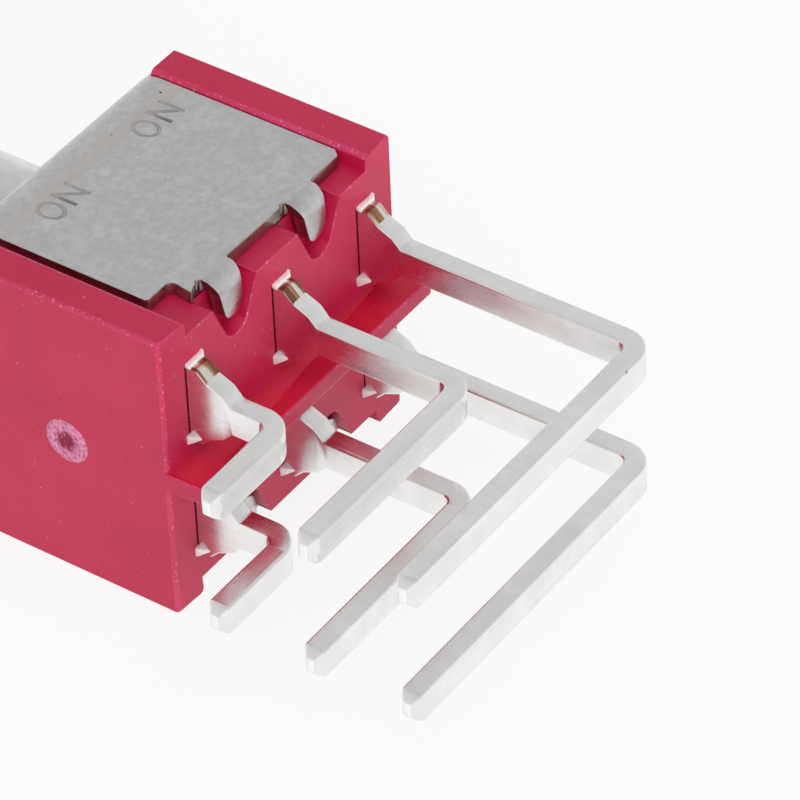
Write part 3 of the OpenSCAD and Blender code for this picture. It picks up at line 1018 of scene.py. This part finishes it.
@dataclass
class Frame:
    """The folded steel frame, with its two stamped words."""

    edge_round: float = 0.04 * MM
    cap: float = 1.12 * MM
    letter_width: float = 0.84 * MM
    groove_half: float = 0.075 * MM
    depth: float = 0.042 * MM
    line_y: float = -2.17 * MM
    edge_y: float = -8.3 * MM
    letters: tuple[tuple[float, float], ...] = ((-2.65 * MM, -1.62 * MM), (2.44 * MM, 3.53 * MM))
    tool_sides: int = 48
    edge_zone: float = 0.55 * MM
    edge_reach: float = 0.2 * MM
    steep: float = 0.6

    def __post_init__(self) -> None:
        """Read the height of the outer face, and size the round tool that presses the letters."""
        self.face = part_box("frame")[1].z
        self.tool = (self.groove_half ** 2 + self.depth ** 2) / (2 * self.depth)

    def letter_o(self, x: float) -> bpy.types.Object:
        """Make the cutter of one letter O.

        Args:
            x: The letter's middle along the plate.

        Returns:
            The cutter, a ring sunk into the plate's face.
        """
        clear_selection()
        radius = self.cap / 2 - self.groove_half
        bpy.ops.mesh.primitive_torus_add(location=(0, 0, 0), major_radius=radius, minor_radius=self.tool,
                                         major_segments=self.tool_sides, minor_segments=self.tool_sides)
        piece = bpy.context.object
        piece.scale = (self.letter_width / self.cap, 1, 1)
        piece.location = (x, self.line_y, self.face + self.tool - self.depth)
        settle(piece)
        return piece

    def letter_n(self, x: float) -> list[bpy.types.Object]:
        """Make the cutters of one letter N.

        Args:
            x: The letter's middle along the plate.

        Returns:
            The cutters, three bars sunk into the plate's face.
        """
        half, rise = self.letter_width / 2 - self.groove_half, self.cap / 2 - self.groove_half
        ends = ((-half, -rise, -half, rise), (-half, rise, half, -rise), (half, -rise, half, rise))
        bars = []
        for x0, y0, x1, y1 in ends:
            clear_selection()
            length = math.hypot(x1 - x0, y1 - y0)
            bpy.ops.mesh.primitive_cylinder_add(
                vertices=self.tool_sides, radius=self.tool, depth=length + self.groove_half,
                location=(x + (x0 + x1) / 2, self.line_y + (y0 + y1) / 2,
                          self.face + self.tool - self.depth),
                rotation=(math.pi / 2, 0, math.atan2(y1 - y0, x1 - x0) + math.pi / 2))
            settle(bpy.context.object)
            bars.append(bpy.context.object)
        return bars

    def sheet(self, finishes: Finishes) -> bpy.types.Object:
        """Break the folded frame's edges and stamp the words into it.

        Args:
            finishes: The switch's finishes.

        Returns:
            The frame.
        """
        piece = solid_copy("frame", "frame_sheet")
        round_edges(piece, self.edge_round, clamped=False)
        for x_o, x_n in self.letters:
            for cutter in (self.letter_o(x_o), *self.letter_n(x_n)):
                cut(piece, cutter)
        coat(piece, finishes.sheet, finishes.sheet_edge, finishes.groove_shade)
        for face in piece.data.polygons:
            at, normal = face.center, face.normal
            across = abs(normal.x) > self.steep and abs(normal.z) < self.steep
            end = normal.y < -self.steep and at.y > self.edge_y - self.edge_reach
            in_line = abs(at.y - self.line_y) < self.cap and normal.z > 0.1
            sunk = self.face - 1.5 * self.depth < at.z < self.face - 0.1 * SLACK
            if at.z > self.face - self.edge_zone and at.y < 0 and (across or end):
                face.material_index = 1
            # Faces sunk in the letters take the darker steel of painted groove shade.
            elif in_line and sunk:
                face.material_index = 2
        smooth(piece)
        mount(piece, "housing", "frame", "frame")
        return piece


@dataclass
class Bushing:
    """The threaded bushing that the switch is mounted by."""

    pitch: float = 0.635 * MM
    thread_depth: float = 0.3 * MM
    thread_start: float = 0.5 * MM
    shoulder: float = 3.3 * MM
    skin: float = 0.315 * MM
    chamfer: float = 0.4 * MM
    key_width: float = 0.8 * MM
    key_depth: float = 0.45 * MM
    crest_round: float = 0.03 * MM
    flank: float = math.radians(30)
    sides: int = 96

    def __post_init__(self) -> None:
        """Read the bushing's end and its radius from the frame and its mount."""
        mounts = {m["name"]: m for m in frame["record"]["mounts"]}
        self.radius = mounts["bushing"]["dims"]["r_mm"] * MM
        self.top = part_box("bushing")[1].y

    def outline(self) -> list[tuple[float, float]]:
        """Give the outer skin from its foot over plain shoulder, thread and chamfer, and back inside.

        Returns:
            Radius and height of each ring, of which the last is the first again.
        """
        inner, rise = self.radius - self.skin, self.thread_depth * math.tan(self.flank)
        rings = [(inner, 0.0), (self.radius, 0.0)]
        height = self.thread_start + self.pitch / 2
        while height + rise < self.top - self.chamfer:
            if height - rise > self.shoulder:
                rings += [(self.radius, height - rise), (self.radius - self.thread_depth, height),
                          (self.radius, height + rise)]
            height += self.pitch
        return rings + [(self.radius, self.top - self.chamfer), (inner, self.top - self.chamfer + self.skin),
                        (inner, 0.0)]

    def threaded_skin(self) -> bpy.types.Object:
        """Draw out the bushing's outer skin and cut the keyway along it.

        Returns:
            The skin, a closed sleeve.
        """
        piece = sleeve("threaded_skin", self.sides, self.outline())
        round_edges(piece, self.crest_round, clamped=False)
        low = Vector((self.radius - self.key_depth, self.chamfer, -self.key_width / 2))
        high = Vector((self.radius + self.skin, self.top + self.skin, self.key_width / 2))
        cut(piece, block("key_cutter", low, high))
        return piece

    def body(self, finishes: Finishes) -> bpy.types.Object:
        """Turn the solid down to its core and put the threaded skin round it.

        Args:
            finishes: The switch's finishes.

        Returns:
            The bushing.
        """
        core = solid_copy("bushing", "bushing_core")
        inner, wide = self.radius - self.skin, self.radius + self.skin
        foot, end = -SLACK, self.top + self.skin
        cut(core, sleeve("turning", self.sides,
                         [(inner, foot), (wide, foot), (wide, end), (inner, end), (inner, foot)]))
        piece = join("bushing_body", [core, self.threaded_skin()])
        coat(piece, finishes.bushing)
        smooth(piece)
        mount(piece, "housing", "bushing", "bushing")
        return piece


@dataclass
class Lever:
    """The bat lever with its ball, shank and bore."""

    pivot: float = 5.0 * MM
    ball: float = 2.0 * MM
    ball_steps: int = 16
    bat: float = 1.5 * MM
    tip_step: int = 8
    neck: float = 0.95 * MM
    neck_flare: float = 0.02 * MM
    neck_rise: float = 0.3 * MM
    shank: float = 1.15 * MM
    shank_edge: float = 0.1 * MM
    bore: float = 0.8 * MM
    bore_edge: float = 0.05 * MM
    bore_end: float = 1.7 * MM
    pin: float = 0.5 * MM
    pin_sides: int = 32
    drill_length: float = 6 * MM
    sides: int = 48

    def __post_init__(self) -> None:
        """Read the lever's ends and the height of the bushing's mouth from the frame."""
        low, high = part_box("lever")
        self.bottom, self.tip = low.y, high.y
        self.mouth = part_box("bushing")[1].y

    def outline(self) -> list[tuple[float, float]]:
        """Give the lever from the tip over bat, neck and ball to the shank's end, and up its bore.

        Returns:
            Radius and height of each ring.
        """
        rings = []
        for degrees in range(self.tip_step, 90, self.tip_step):
            turn = math.radians(degrees)
            rings.append((self.bat * math.sin(turn), self.tip - self.bat + self.bat * math.cos(turn)))
        rings += [(self.bat, self.tip - self.bat), (self.neck + self.neck_flare, self.mouth + self.neck_rise),
                  (self.neck, self.mouth)]
        start = math.degrees(math.asin(self.neck / self.ball))
        end = 180 - math.degrees(math.asin(self.shank / self.ball))
        for step in range(self.ball_steps + 1):
            turn = math.radians(start + (end - start) * step / self.ball_steps)
            rings.append((self.ball * math.sin(turn), self.pivot + self.ball * math.cos(turn)))
        rings += [(self.shank, self.bottom + self.shank_edge), (self.shank - self.shank_edge, self.bottom),
                  (self.bore + self.bore_edge, self.bottom), (self.bore, self.bottom + self.bore_edge),
                  (self.bore, self.pivot - self.bore_end)]
        return rings

    def body(self, finishes: Finishes) -> bpy.types.Object:
        """Draw out the lever ring by ring, close it and drill it for the pin.

        Args:
            finishes: The switch's finishes.

        Returns:
            The lever.
        """
        rings = self.outline()
        piece = open_ring("lever_bat", self.sides, *rings[0])
        bpy.ops.mesh.edge_face_add()
        bpy.ops.mesh.poke()
        cap = bmesh.from_edit_mesh(piece.data)
        for point in cap.verts:
            aside = math.hypot(point.co.x, point.co.z)
            if aside < SLACK:
                point.co.y = self.tip
            point.select_set(aside > SLACK)
        cap.select_flush_mode()
        bmesh.update_edit_mesh(piece.data)
        bpy.ops.mesh.select_mode(type="EDGE")
        rim = bmesh.from_edit_mesh(piece.data)
        for edge in rim.edges:
            edge.select_set(edge.is_boundary)
        bmesh.update_edit_mesh(piece.data)
        draw_rings(rings)
        bpy.ops.mesh.edge_face_add()
        heal()
        bpy.ops.mesh.primitive_cylinder_add(vertices=self.pin_sides, radius=self.pin,
                                            depth=self.drill_length, location=(0, self.pivot, 0))
        drill = bpy.context.object
        settle(drill)
        cut(piece, drill)
        coat(piece, finishes.lever)
        smooth(piece)
        mount(piece, "lever", "lever", "lever")
        return piece


@dataclass
class Terminals:
    """The six stamped terminals, each bent square towards the board.

    Each of the steps is how far below the case's face it lies, and the strip's half width there.
    """

    pitch: float = 4.7 * MM
    row_z: float = 2.4 * MM
    face_y: float = -9.2 * MM
    thickness: float = 0.76 * MM
    root_half: float = 1.55 * MM
    steps: tuple[tuple[float, float], ...] = (
        (0.46 * MM, 1.55 * MM), (0.8 * MM, 1.209 * MM), (1.36 * MM, 0.961 * MM), (1.7 * MM, 0.575 * MM))
    neck_share: float = 0.04
    bend: float = 0.35 * MM
    bend_steps: int = 10
    tip_taper: float = 0.3 * MM
    tip_scale: tuple[float, float, float] = (1, 0.45, 0.50)
    edge_round: float = 0.09 * MM
    sheared_length: float = 0.75 * MM
    plated_root: float = 0.5 * MM
    edge_tilt: float = 0.45

    buried: float = 0.02 * MM
    burr_round: float = 0.02 * MM
    burr_drop: float = 0.19 * MM
    burr_seat: float = 0.06 * MM
    burr_rise: float = 0.11 * MM
    burr_lean: tuple[float, float, float] = (0.1 * MM, 0, 0.09 * MM)
    burr_crest: float = 0.14 * MM
    burr_scale: tuple[float, float, float] = (1, 0.5, 0.6)

    stake_height: float = 0.34 * MM
    stake_width: float = 0.18 * MM
    stake_seat: float = 0.05 * MM
    stake_drop: float = 0.06 * MM
    stake_run: float = 0.46 * MM
    stake_scale: tuple[float, float, float] = (0.12, 1, 0.12)
    stake_top: float = -0.9 * MM

    blade: float = 0.4 * MM
    shelf_reach: float = 0.75 * MM
    shelf_half: float = 1.3 * MM
    ridge: float = 0.25 * MM
    ridge_round: float = 0.98
    ridge_steps: int = 6
    ear: float = 0.3 * MM
    ear_inner: float = 1.0 * MM
    ear_half: float = 0.5 * MM
    ear_height: float = 1.3 * MM

    def __post_init__(self) -> None:
        """Read the terminals' ends from the frame."""
        self.tip_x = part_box("terminal_a1")[0].x
        self.top_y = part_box("fixed_contact_a1")[0].y - self.blade / 2

    def column(self, place: Place) -> float:
        """Give a terminal's place along the row."""
        return (place.value - 2) * self.pitch

    def pin_y(self, place: Place) -> float:
        """Give the height of a terminal's pin."""
        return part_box(f"terminal_a{place.value}")[0].y + self.thickness / 2

    def strip(self, place: Place) -> bpy.types.Object:
        """Draw out one terminal of the upper row from its root to its tip.

        Args:
            place: Where it stands in the row.

        Returns:
            The terminal's strip.
        """
        x, half = self.column(place), self.thickness / 2
        piece = block(f"strip_{place.value}", Vector((x - half, self.face_y, self.row_z - self.root_half)),
                      Vector((x + half, self.top_y, self.row_z + self.root_half)))
        open_mesh(piece)
        select_faces(piece, lambda at, normal: normal.y < -FACING)
        reach, width = 0.0, self.root_half
        for distance, half_width in self.steps:
            end = Vector((x, self.face_y - distance, self.row_z))
            push(Vector((0, reach - distance, 0)), Vector((1, 1, half_width / width)), end)
            reach, width = distance, half_width
        pin_y = self.pin_y(place)
        centre = Vector((x - self.bend - half, pin_y + self.bend + half, self.row_z))
        drop = self.face_y - reach - centre.y
        push(Vector((0, -drop * self.neck_share, 0)))
        push(Vector((0, -drop * (1 - self.neck_share), 0)))
        bpy.ops.mesh.spin(steps=self.bend_steps, angle=math.pi / 2, center=centre, axis=(0, 0, 1))
        run = centre.x - self.tip_x - self.tip_taper
        push(Vector((-run, 0, 0)))
        end = Vector((self.tip_x, pin_y, self.row_z))
        push(Vector((-self.tip_taper, 0, 0)), Vector(self.tip_scale), end)
        bpy.ops.mesh.select_all(action="SELECT")
        bpy.ops.mesh.normals_make_consistent(inside=False)
        close_mesh()
        round_edges(piece, self.edge_round, 3, clamped=False)
        return piece

    def burr(self, place: Place) -> bpy.types.Object:
        """Make the bright lip that the slot's edge scraped up on the root's top edge.

        Args:
            place: Where the terminal stands in the row.

        Returns:
            The lip.
        """
        x, top = self.column(place), self.row_z + self.root_half
        half = self.thickness / 2
        lip = block("lip", Vector((x - half, self.face_y - self.burr_drop, top - self.burr_seat)),
                    Vector((x + half, self.face_y + self.buried, top + self.burr_rise)))
        open_mesh(lip)
        select_faces(lip, lambda at, normal: normal.x > FACING)
        push(Vector(self.burr_lean), Vector(self.burr_scale),
             Vector((x + half + self.burr_lean[0], self.face_y, top + self.burr_crest)))
        close_mesh()
        round_edges(lip, self.burr_round)
        return lip

    def stake(self, place: Place) -> bpy.types.Object:
        """Make the sloping wedge that was pressed out of the root's lower corner.

        Args:
            place: Where the terminal stands in the row.

        Returns:
            The wedge.
        """
        x = self.column(place) - self.thickness / 2
        low = self.row_z - self.root_half
        high = low + self.stake_height
        wedge = block("wedge", Vector((x - self.stake_width, self.face_y - self.stake_drop, low)),
                      Vector((x + self.stake_seat, self.face_y + self.buried, high)))
        open_mesh(wedge)
        select_faces(wedge, lambda at, normal: normal.y < -FACING)
        push(Vector((0, -self.stake_run, 0)), Vector(self.stake_scale),
             Vector((x + self.stake_seat, self.face_y - self.stake_drop - self.stake_run, high)))
        close_mesh()
        round_edges(wedge, self.burr_round)
        return wedge

    def inner_end(self, place: Place) -> list[bpy.types.Object]:
        """Make the shelf inside the case, and the middle terminal's ridge and ears.

        Args:
            place: Where the terminal stands in the row.

        Returns:
            The pieces to join to the strip.
        """
        x = self.column(place)
        top, crown = (corner.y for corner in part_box("fixed_contact_a1"))
        low = Vector((x - self.shelf_reach, top - self.blade, self.row_z - self.shelf_half))
        high = Vector((x + self.shelf_reach, top, self.row_z + self.shelf_half))
        parts = [block("shelf", low, high)]
        if place is Place.MIDDLE:
            reach = self.ear_inner + self.ear / 2
            saddle = block("saddle", Vector((x - self.ridge, top - self.blade, self.row_z - reach)),
                           Vector((x + self.ridge, crown, self.row_z + reach)))
            open_mesh(saddle)
            select_edges(saddle, lambda a, b: min(a.y, b.y) > crown - SLACK and abs(a.x - b.x) < SLACK)
            bpy.ops.mesh.bevel(offset=self.ridge * self.ridge_round, segments=self.ridge_steps,
                               affect="EDGES", clamp_overlap=False)
            close_mesh()
            parts.append(saddle)
            for side in (-1, 1):
                ends = (self.row_z + side * self.ear_inner, self.row_z + side * (self.ear_inner + self.ear))
                parts.append(block("ear", Vector((x - self.ear_half, top - self.blade, min(ends))),
                                   Vector((x + self.ear_half, top + self.ear_height, max(ends)))))
        return parts

    def dress(self, piece: bpy.types.Object, place: Place, finishes: Finishes) -> None:
        """Give a terminal's faces their plating.

        Args:
            piece: The terminal.
            place: Where it stands in the row.
            finishes: The switch's finishes.
        """
        coat(piece, finishes.terminal, finishes.pin, finishes.sheared, finishes.torn_tin_and_painted_highlight)
        x, half = self.column(place), self.thickness / 2
        for face in piece.data.polygons:
            at = face.center
            rise = at.z - self.row_z
            near = self.face_y - self.sheared_length < at.y < self.face_y + self.plated_root
            lip = rise > self.root_half + SLACK or at.x > x + half + SLACK
            wedge = at.x < x - half - SLACK and rise < self.stake_top
            # Lips, wedges and tip faces take the near-white plating: painted highlight on the tips, torn
            # metal with painted sheen on the lips and wedges.
            if near and (lip or wedge) or at.x < self.tip_x + SLACK:
                face.material_index = 3
            elif at.x < x - half - self.bend:
                face.material_index = 1
            elif near and abs(face.normal.z) > self.edge_tilt:
                face.material_index = 2
        smooth(piece)

    def build(self, finishes: Finishes) -> list[bpy.types.Object]:
        """Make the three terminals of one row and copy them to the other.

        Args:
            finishes: The switch's finishes.

        Returns:
            The six terminals.
        """
        row = []
        for place in Place:
            parts = [self.strip(place), self.burr(place), self.stake(place), *self.inner_end(place)]
            upper = join(f"terminal_upper_{place.value}", parts)
            self.dress(upper, place, finishes)
            lower = own_copy(upper, f"terminal_lower_{place.value}", Vector((0, 0, -2 * self.row_z)))
            mount(upper, "housing", "terminal", f"terminal_{Pole.UPPER.value}{place.value}")
            mount(lower, "housing", "terminal", f"terminal_{Pole.LOWER.value}{place.value}")
            row += [upper, lower]
        return row


@dataclass
class Mechanism:
    """The working parts inside the case, all but the spring shown by their own solids."""

    wire_angle: float = 50

    def dress(self, finishes: Finishes) -> None:
        """Give each inner solid its finish.

        Args:
            finishes: The switch's finishes.
        """
        plan = {
            finishes.steel: ["pivot_pin"],
            finishes.nylon: ["plunger"],
            finishes.blade: ["rocker_a", "rocker_b"],
            finishes.contact: [f"{kind}_contact_{pole.value}{side}" for kind in ("fixed", "moving")
                               for pole in Pole for side in (1, 3)],
        }
        for finish, nodes in plan.items():
            for node in nodes:
                solid = frame["nodes"][node]
                solid.data.materials.clear()
                coat(solid, finish)
                log.info("%s: solid kept, finished in %s", node, finish.name)

    def coil(self, finishes: Finishes) -> bpy.types.Object:
        """Make the plunger's spring, which sits between the lever above and the plunger below.

        Args:
            finishes: The switch's finishes.

        Returns:
            The spring.
        """
        piece = solid_copy("plunger_spring", "spring_coil")
        coat(piece, finishes.steel)
        smooth(piece, self.wire_angle)
        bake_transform(piece)
        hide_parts("plunger_spring")
        return piece


@dataclass
class Studio:
    """The white floor, the soft lamps, the sky and the camera."""

    floor_z: float = -5.72 * MM
    floor_half: float = 0.6
    ambient: float = 0.62
    zenith: float = 0.72
    haze: float = 0.25
    lens: float = 257.812
    sensor: float = 36.0
    place: tuple[float, float, float] = (-0.11236, -0.09665, 0.12021)
    right: tuple[float, float, float] = (0.57039, -0.82072, -0.03271)
    up: tuple[float, float, float] = (0.54762, 0.35030, 0.75987)

    def floor(self) -> None:
        """Lay the flat floor that the switch rests on."""
        clear_selection()
        bpy.ops.mesh.primitive_plane_add(size=2 * self.floor_half, location=(0, 0, self.floor_z))
        sheet = bpy.context.object
        sheet.name = "bench_top"
        settle(sheet)
        coat(sheet, BenchTop().build())

    def lamp(self, name: str, at: Vector, size: tuple[float, float], power: float) -> None:
        """Hang a soft lamp that looks at the switch and doesn't show in its metal.

        Args:
            name: The lamp's name.
            at: Where it hangs.
            size: Its width and height.
            power: Its power in watts.
        """
        light = bpy.data.lights.new(name, "AREA")
        light.shape = "RECTANGLE"
        light.size, light.size_y = size
        light.energy = power
        holder = bpy.data.objects.new(name, light)
        holder.location = at
        holder.rotation_euler = (-at).to_track_quat("-Z", "Y").to_euler()
        holder.visible_glossy = False
        bpy.context.scene.collection.objects.link(holder)

    def lamps(self) -> None:
        """Hang the key lamp overhead and the fill lamp beside the terminals."""
        self.lamp("key", at=Vector((-0.10, -0.12, 0.45)), size=(0.5, 0.5), power=0.70)
        self.lamp("fill", at=Vector((-0.26, -0.36, 0.13)), size=(0.5, 0.22), power=1.10)

    def sky(self) -> None:
        """Make the sky: even light on surfaces, white to the eye and in reflections, greyer overhead."""
        world = bpy.data.worlds.new("sky")
        bpy.context.scene.world = world
        world.use_nodes = True
        tree = world.node_tree
        tree.nodes.clear()
        out = tree.nodes.new("ShaderNodeOutputWorld")
        seen = tree.nodes.new("ShaderNodeBackground")
        felt = tree.nodes.new("ShaderNodeBackground")
        felt.inputs["Strength"].default_value = self.ambient
        mixer = tree.nodes.new("ShaderNodeMixShader")
        ray = tree.nodes.new("ShaderNodeLightPath")
        either, any_seen = tree.nodes.new("ShaderNodeMath"), tree.nodes.new("ShaderNodeMath")
        either.operation = any_seen.operation = "MAXIMUM"
        direction = tree.nodes.new("ShaderNodeTexCoord")
        split = tree.nodes.new("ShaderNodeSeparateXYZ")
        height = tree.nodes.new("ShaderNodeMapRange")
        ramp = {"From Min": self.haze, "From Max": 1.0, "To Min": 1.0, "To Max": self.zenith}
        for socket, value in ramp.items():
            height.inputs[socket].default_value = value
        for source, target in (
                (direction.outputs["Generated"], split.inputs[0]),
                (split.outputs["Z"], height.inputs["Value"]),
                (height.outputs[0], seen.inputs["Strength"]),
                (ray.outputs["Is Camera Ray"], either.inputs[0]),
                (ray.outputs["Is Glossy Ray"], either.inputs[1]),
                (either.outputs[0], any_seen.inputs[0]),
                (ray.outputs["Is Transmission Ray"], any_seen.inputs[1]),
                (any_seen.outputs[0], mixer.inputs[0]),
                (felt.outputs[0], mixer.inputs[1]),
                (seen.outputs[0], mixer.inputs[2]),
                (mixer.outputs[0], out.inputs["Surface"])):
            tree.links.new(source, target)

    def camera(self) -> None:
        """Set the camera that frames the case's end, plate and pins."""
        data = bpy.data.cameras.new("camera")
        data.lens, data.sensor_width, data.sensor_fit = self.lens, self.sensor, "HORIZONTAL"
        data.clip_start, data.clip_end = 0.01, 10
        holder = bpy.data.objects.new("camera", data)
        right, up = Vector(self.right), Vector(self.up)
        back = right.cross(up)
        turn = Matrix((right, up, back)).transposed().to_4x4()
        holder.matrix_world = Matrix.Translation(Vector(self.place)) @ turn
        bpy.context.scene.collection.objects.link(holder)
        bpy.context.scene.camera = holder
        bpy.context.scene.view_settings.view_transform = "Standard"


def main() -> None:
    """Build every sub-assembly in order and report it."""
    logging.basicConfig(level=logging.INFO, format="%(name)s: %(message)s")
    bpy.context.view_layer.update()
    finishes = Finishes()
    case = Case()
    case.shell(finishes)
    case.gate_mark()
    Frame().sheet(finishes)
    Bushing().body(finishes)
    Lever().body(finishes)
    Terminals().build(finishes)
    mechanism = Mechanism()
    mechanism.dress(finishes)
    mechanism.coil(finishes)
    studio = Studio()
    studio.floor()
    studio.lamps()
    studio.sky()
    studio.camera()
    clear_selection()


if __name__ == "__main__":
    main()
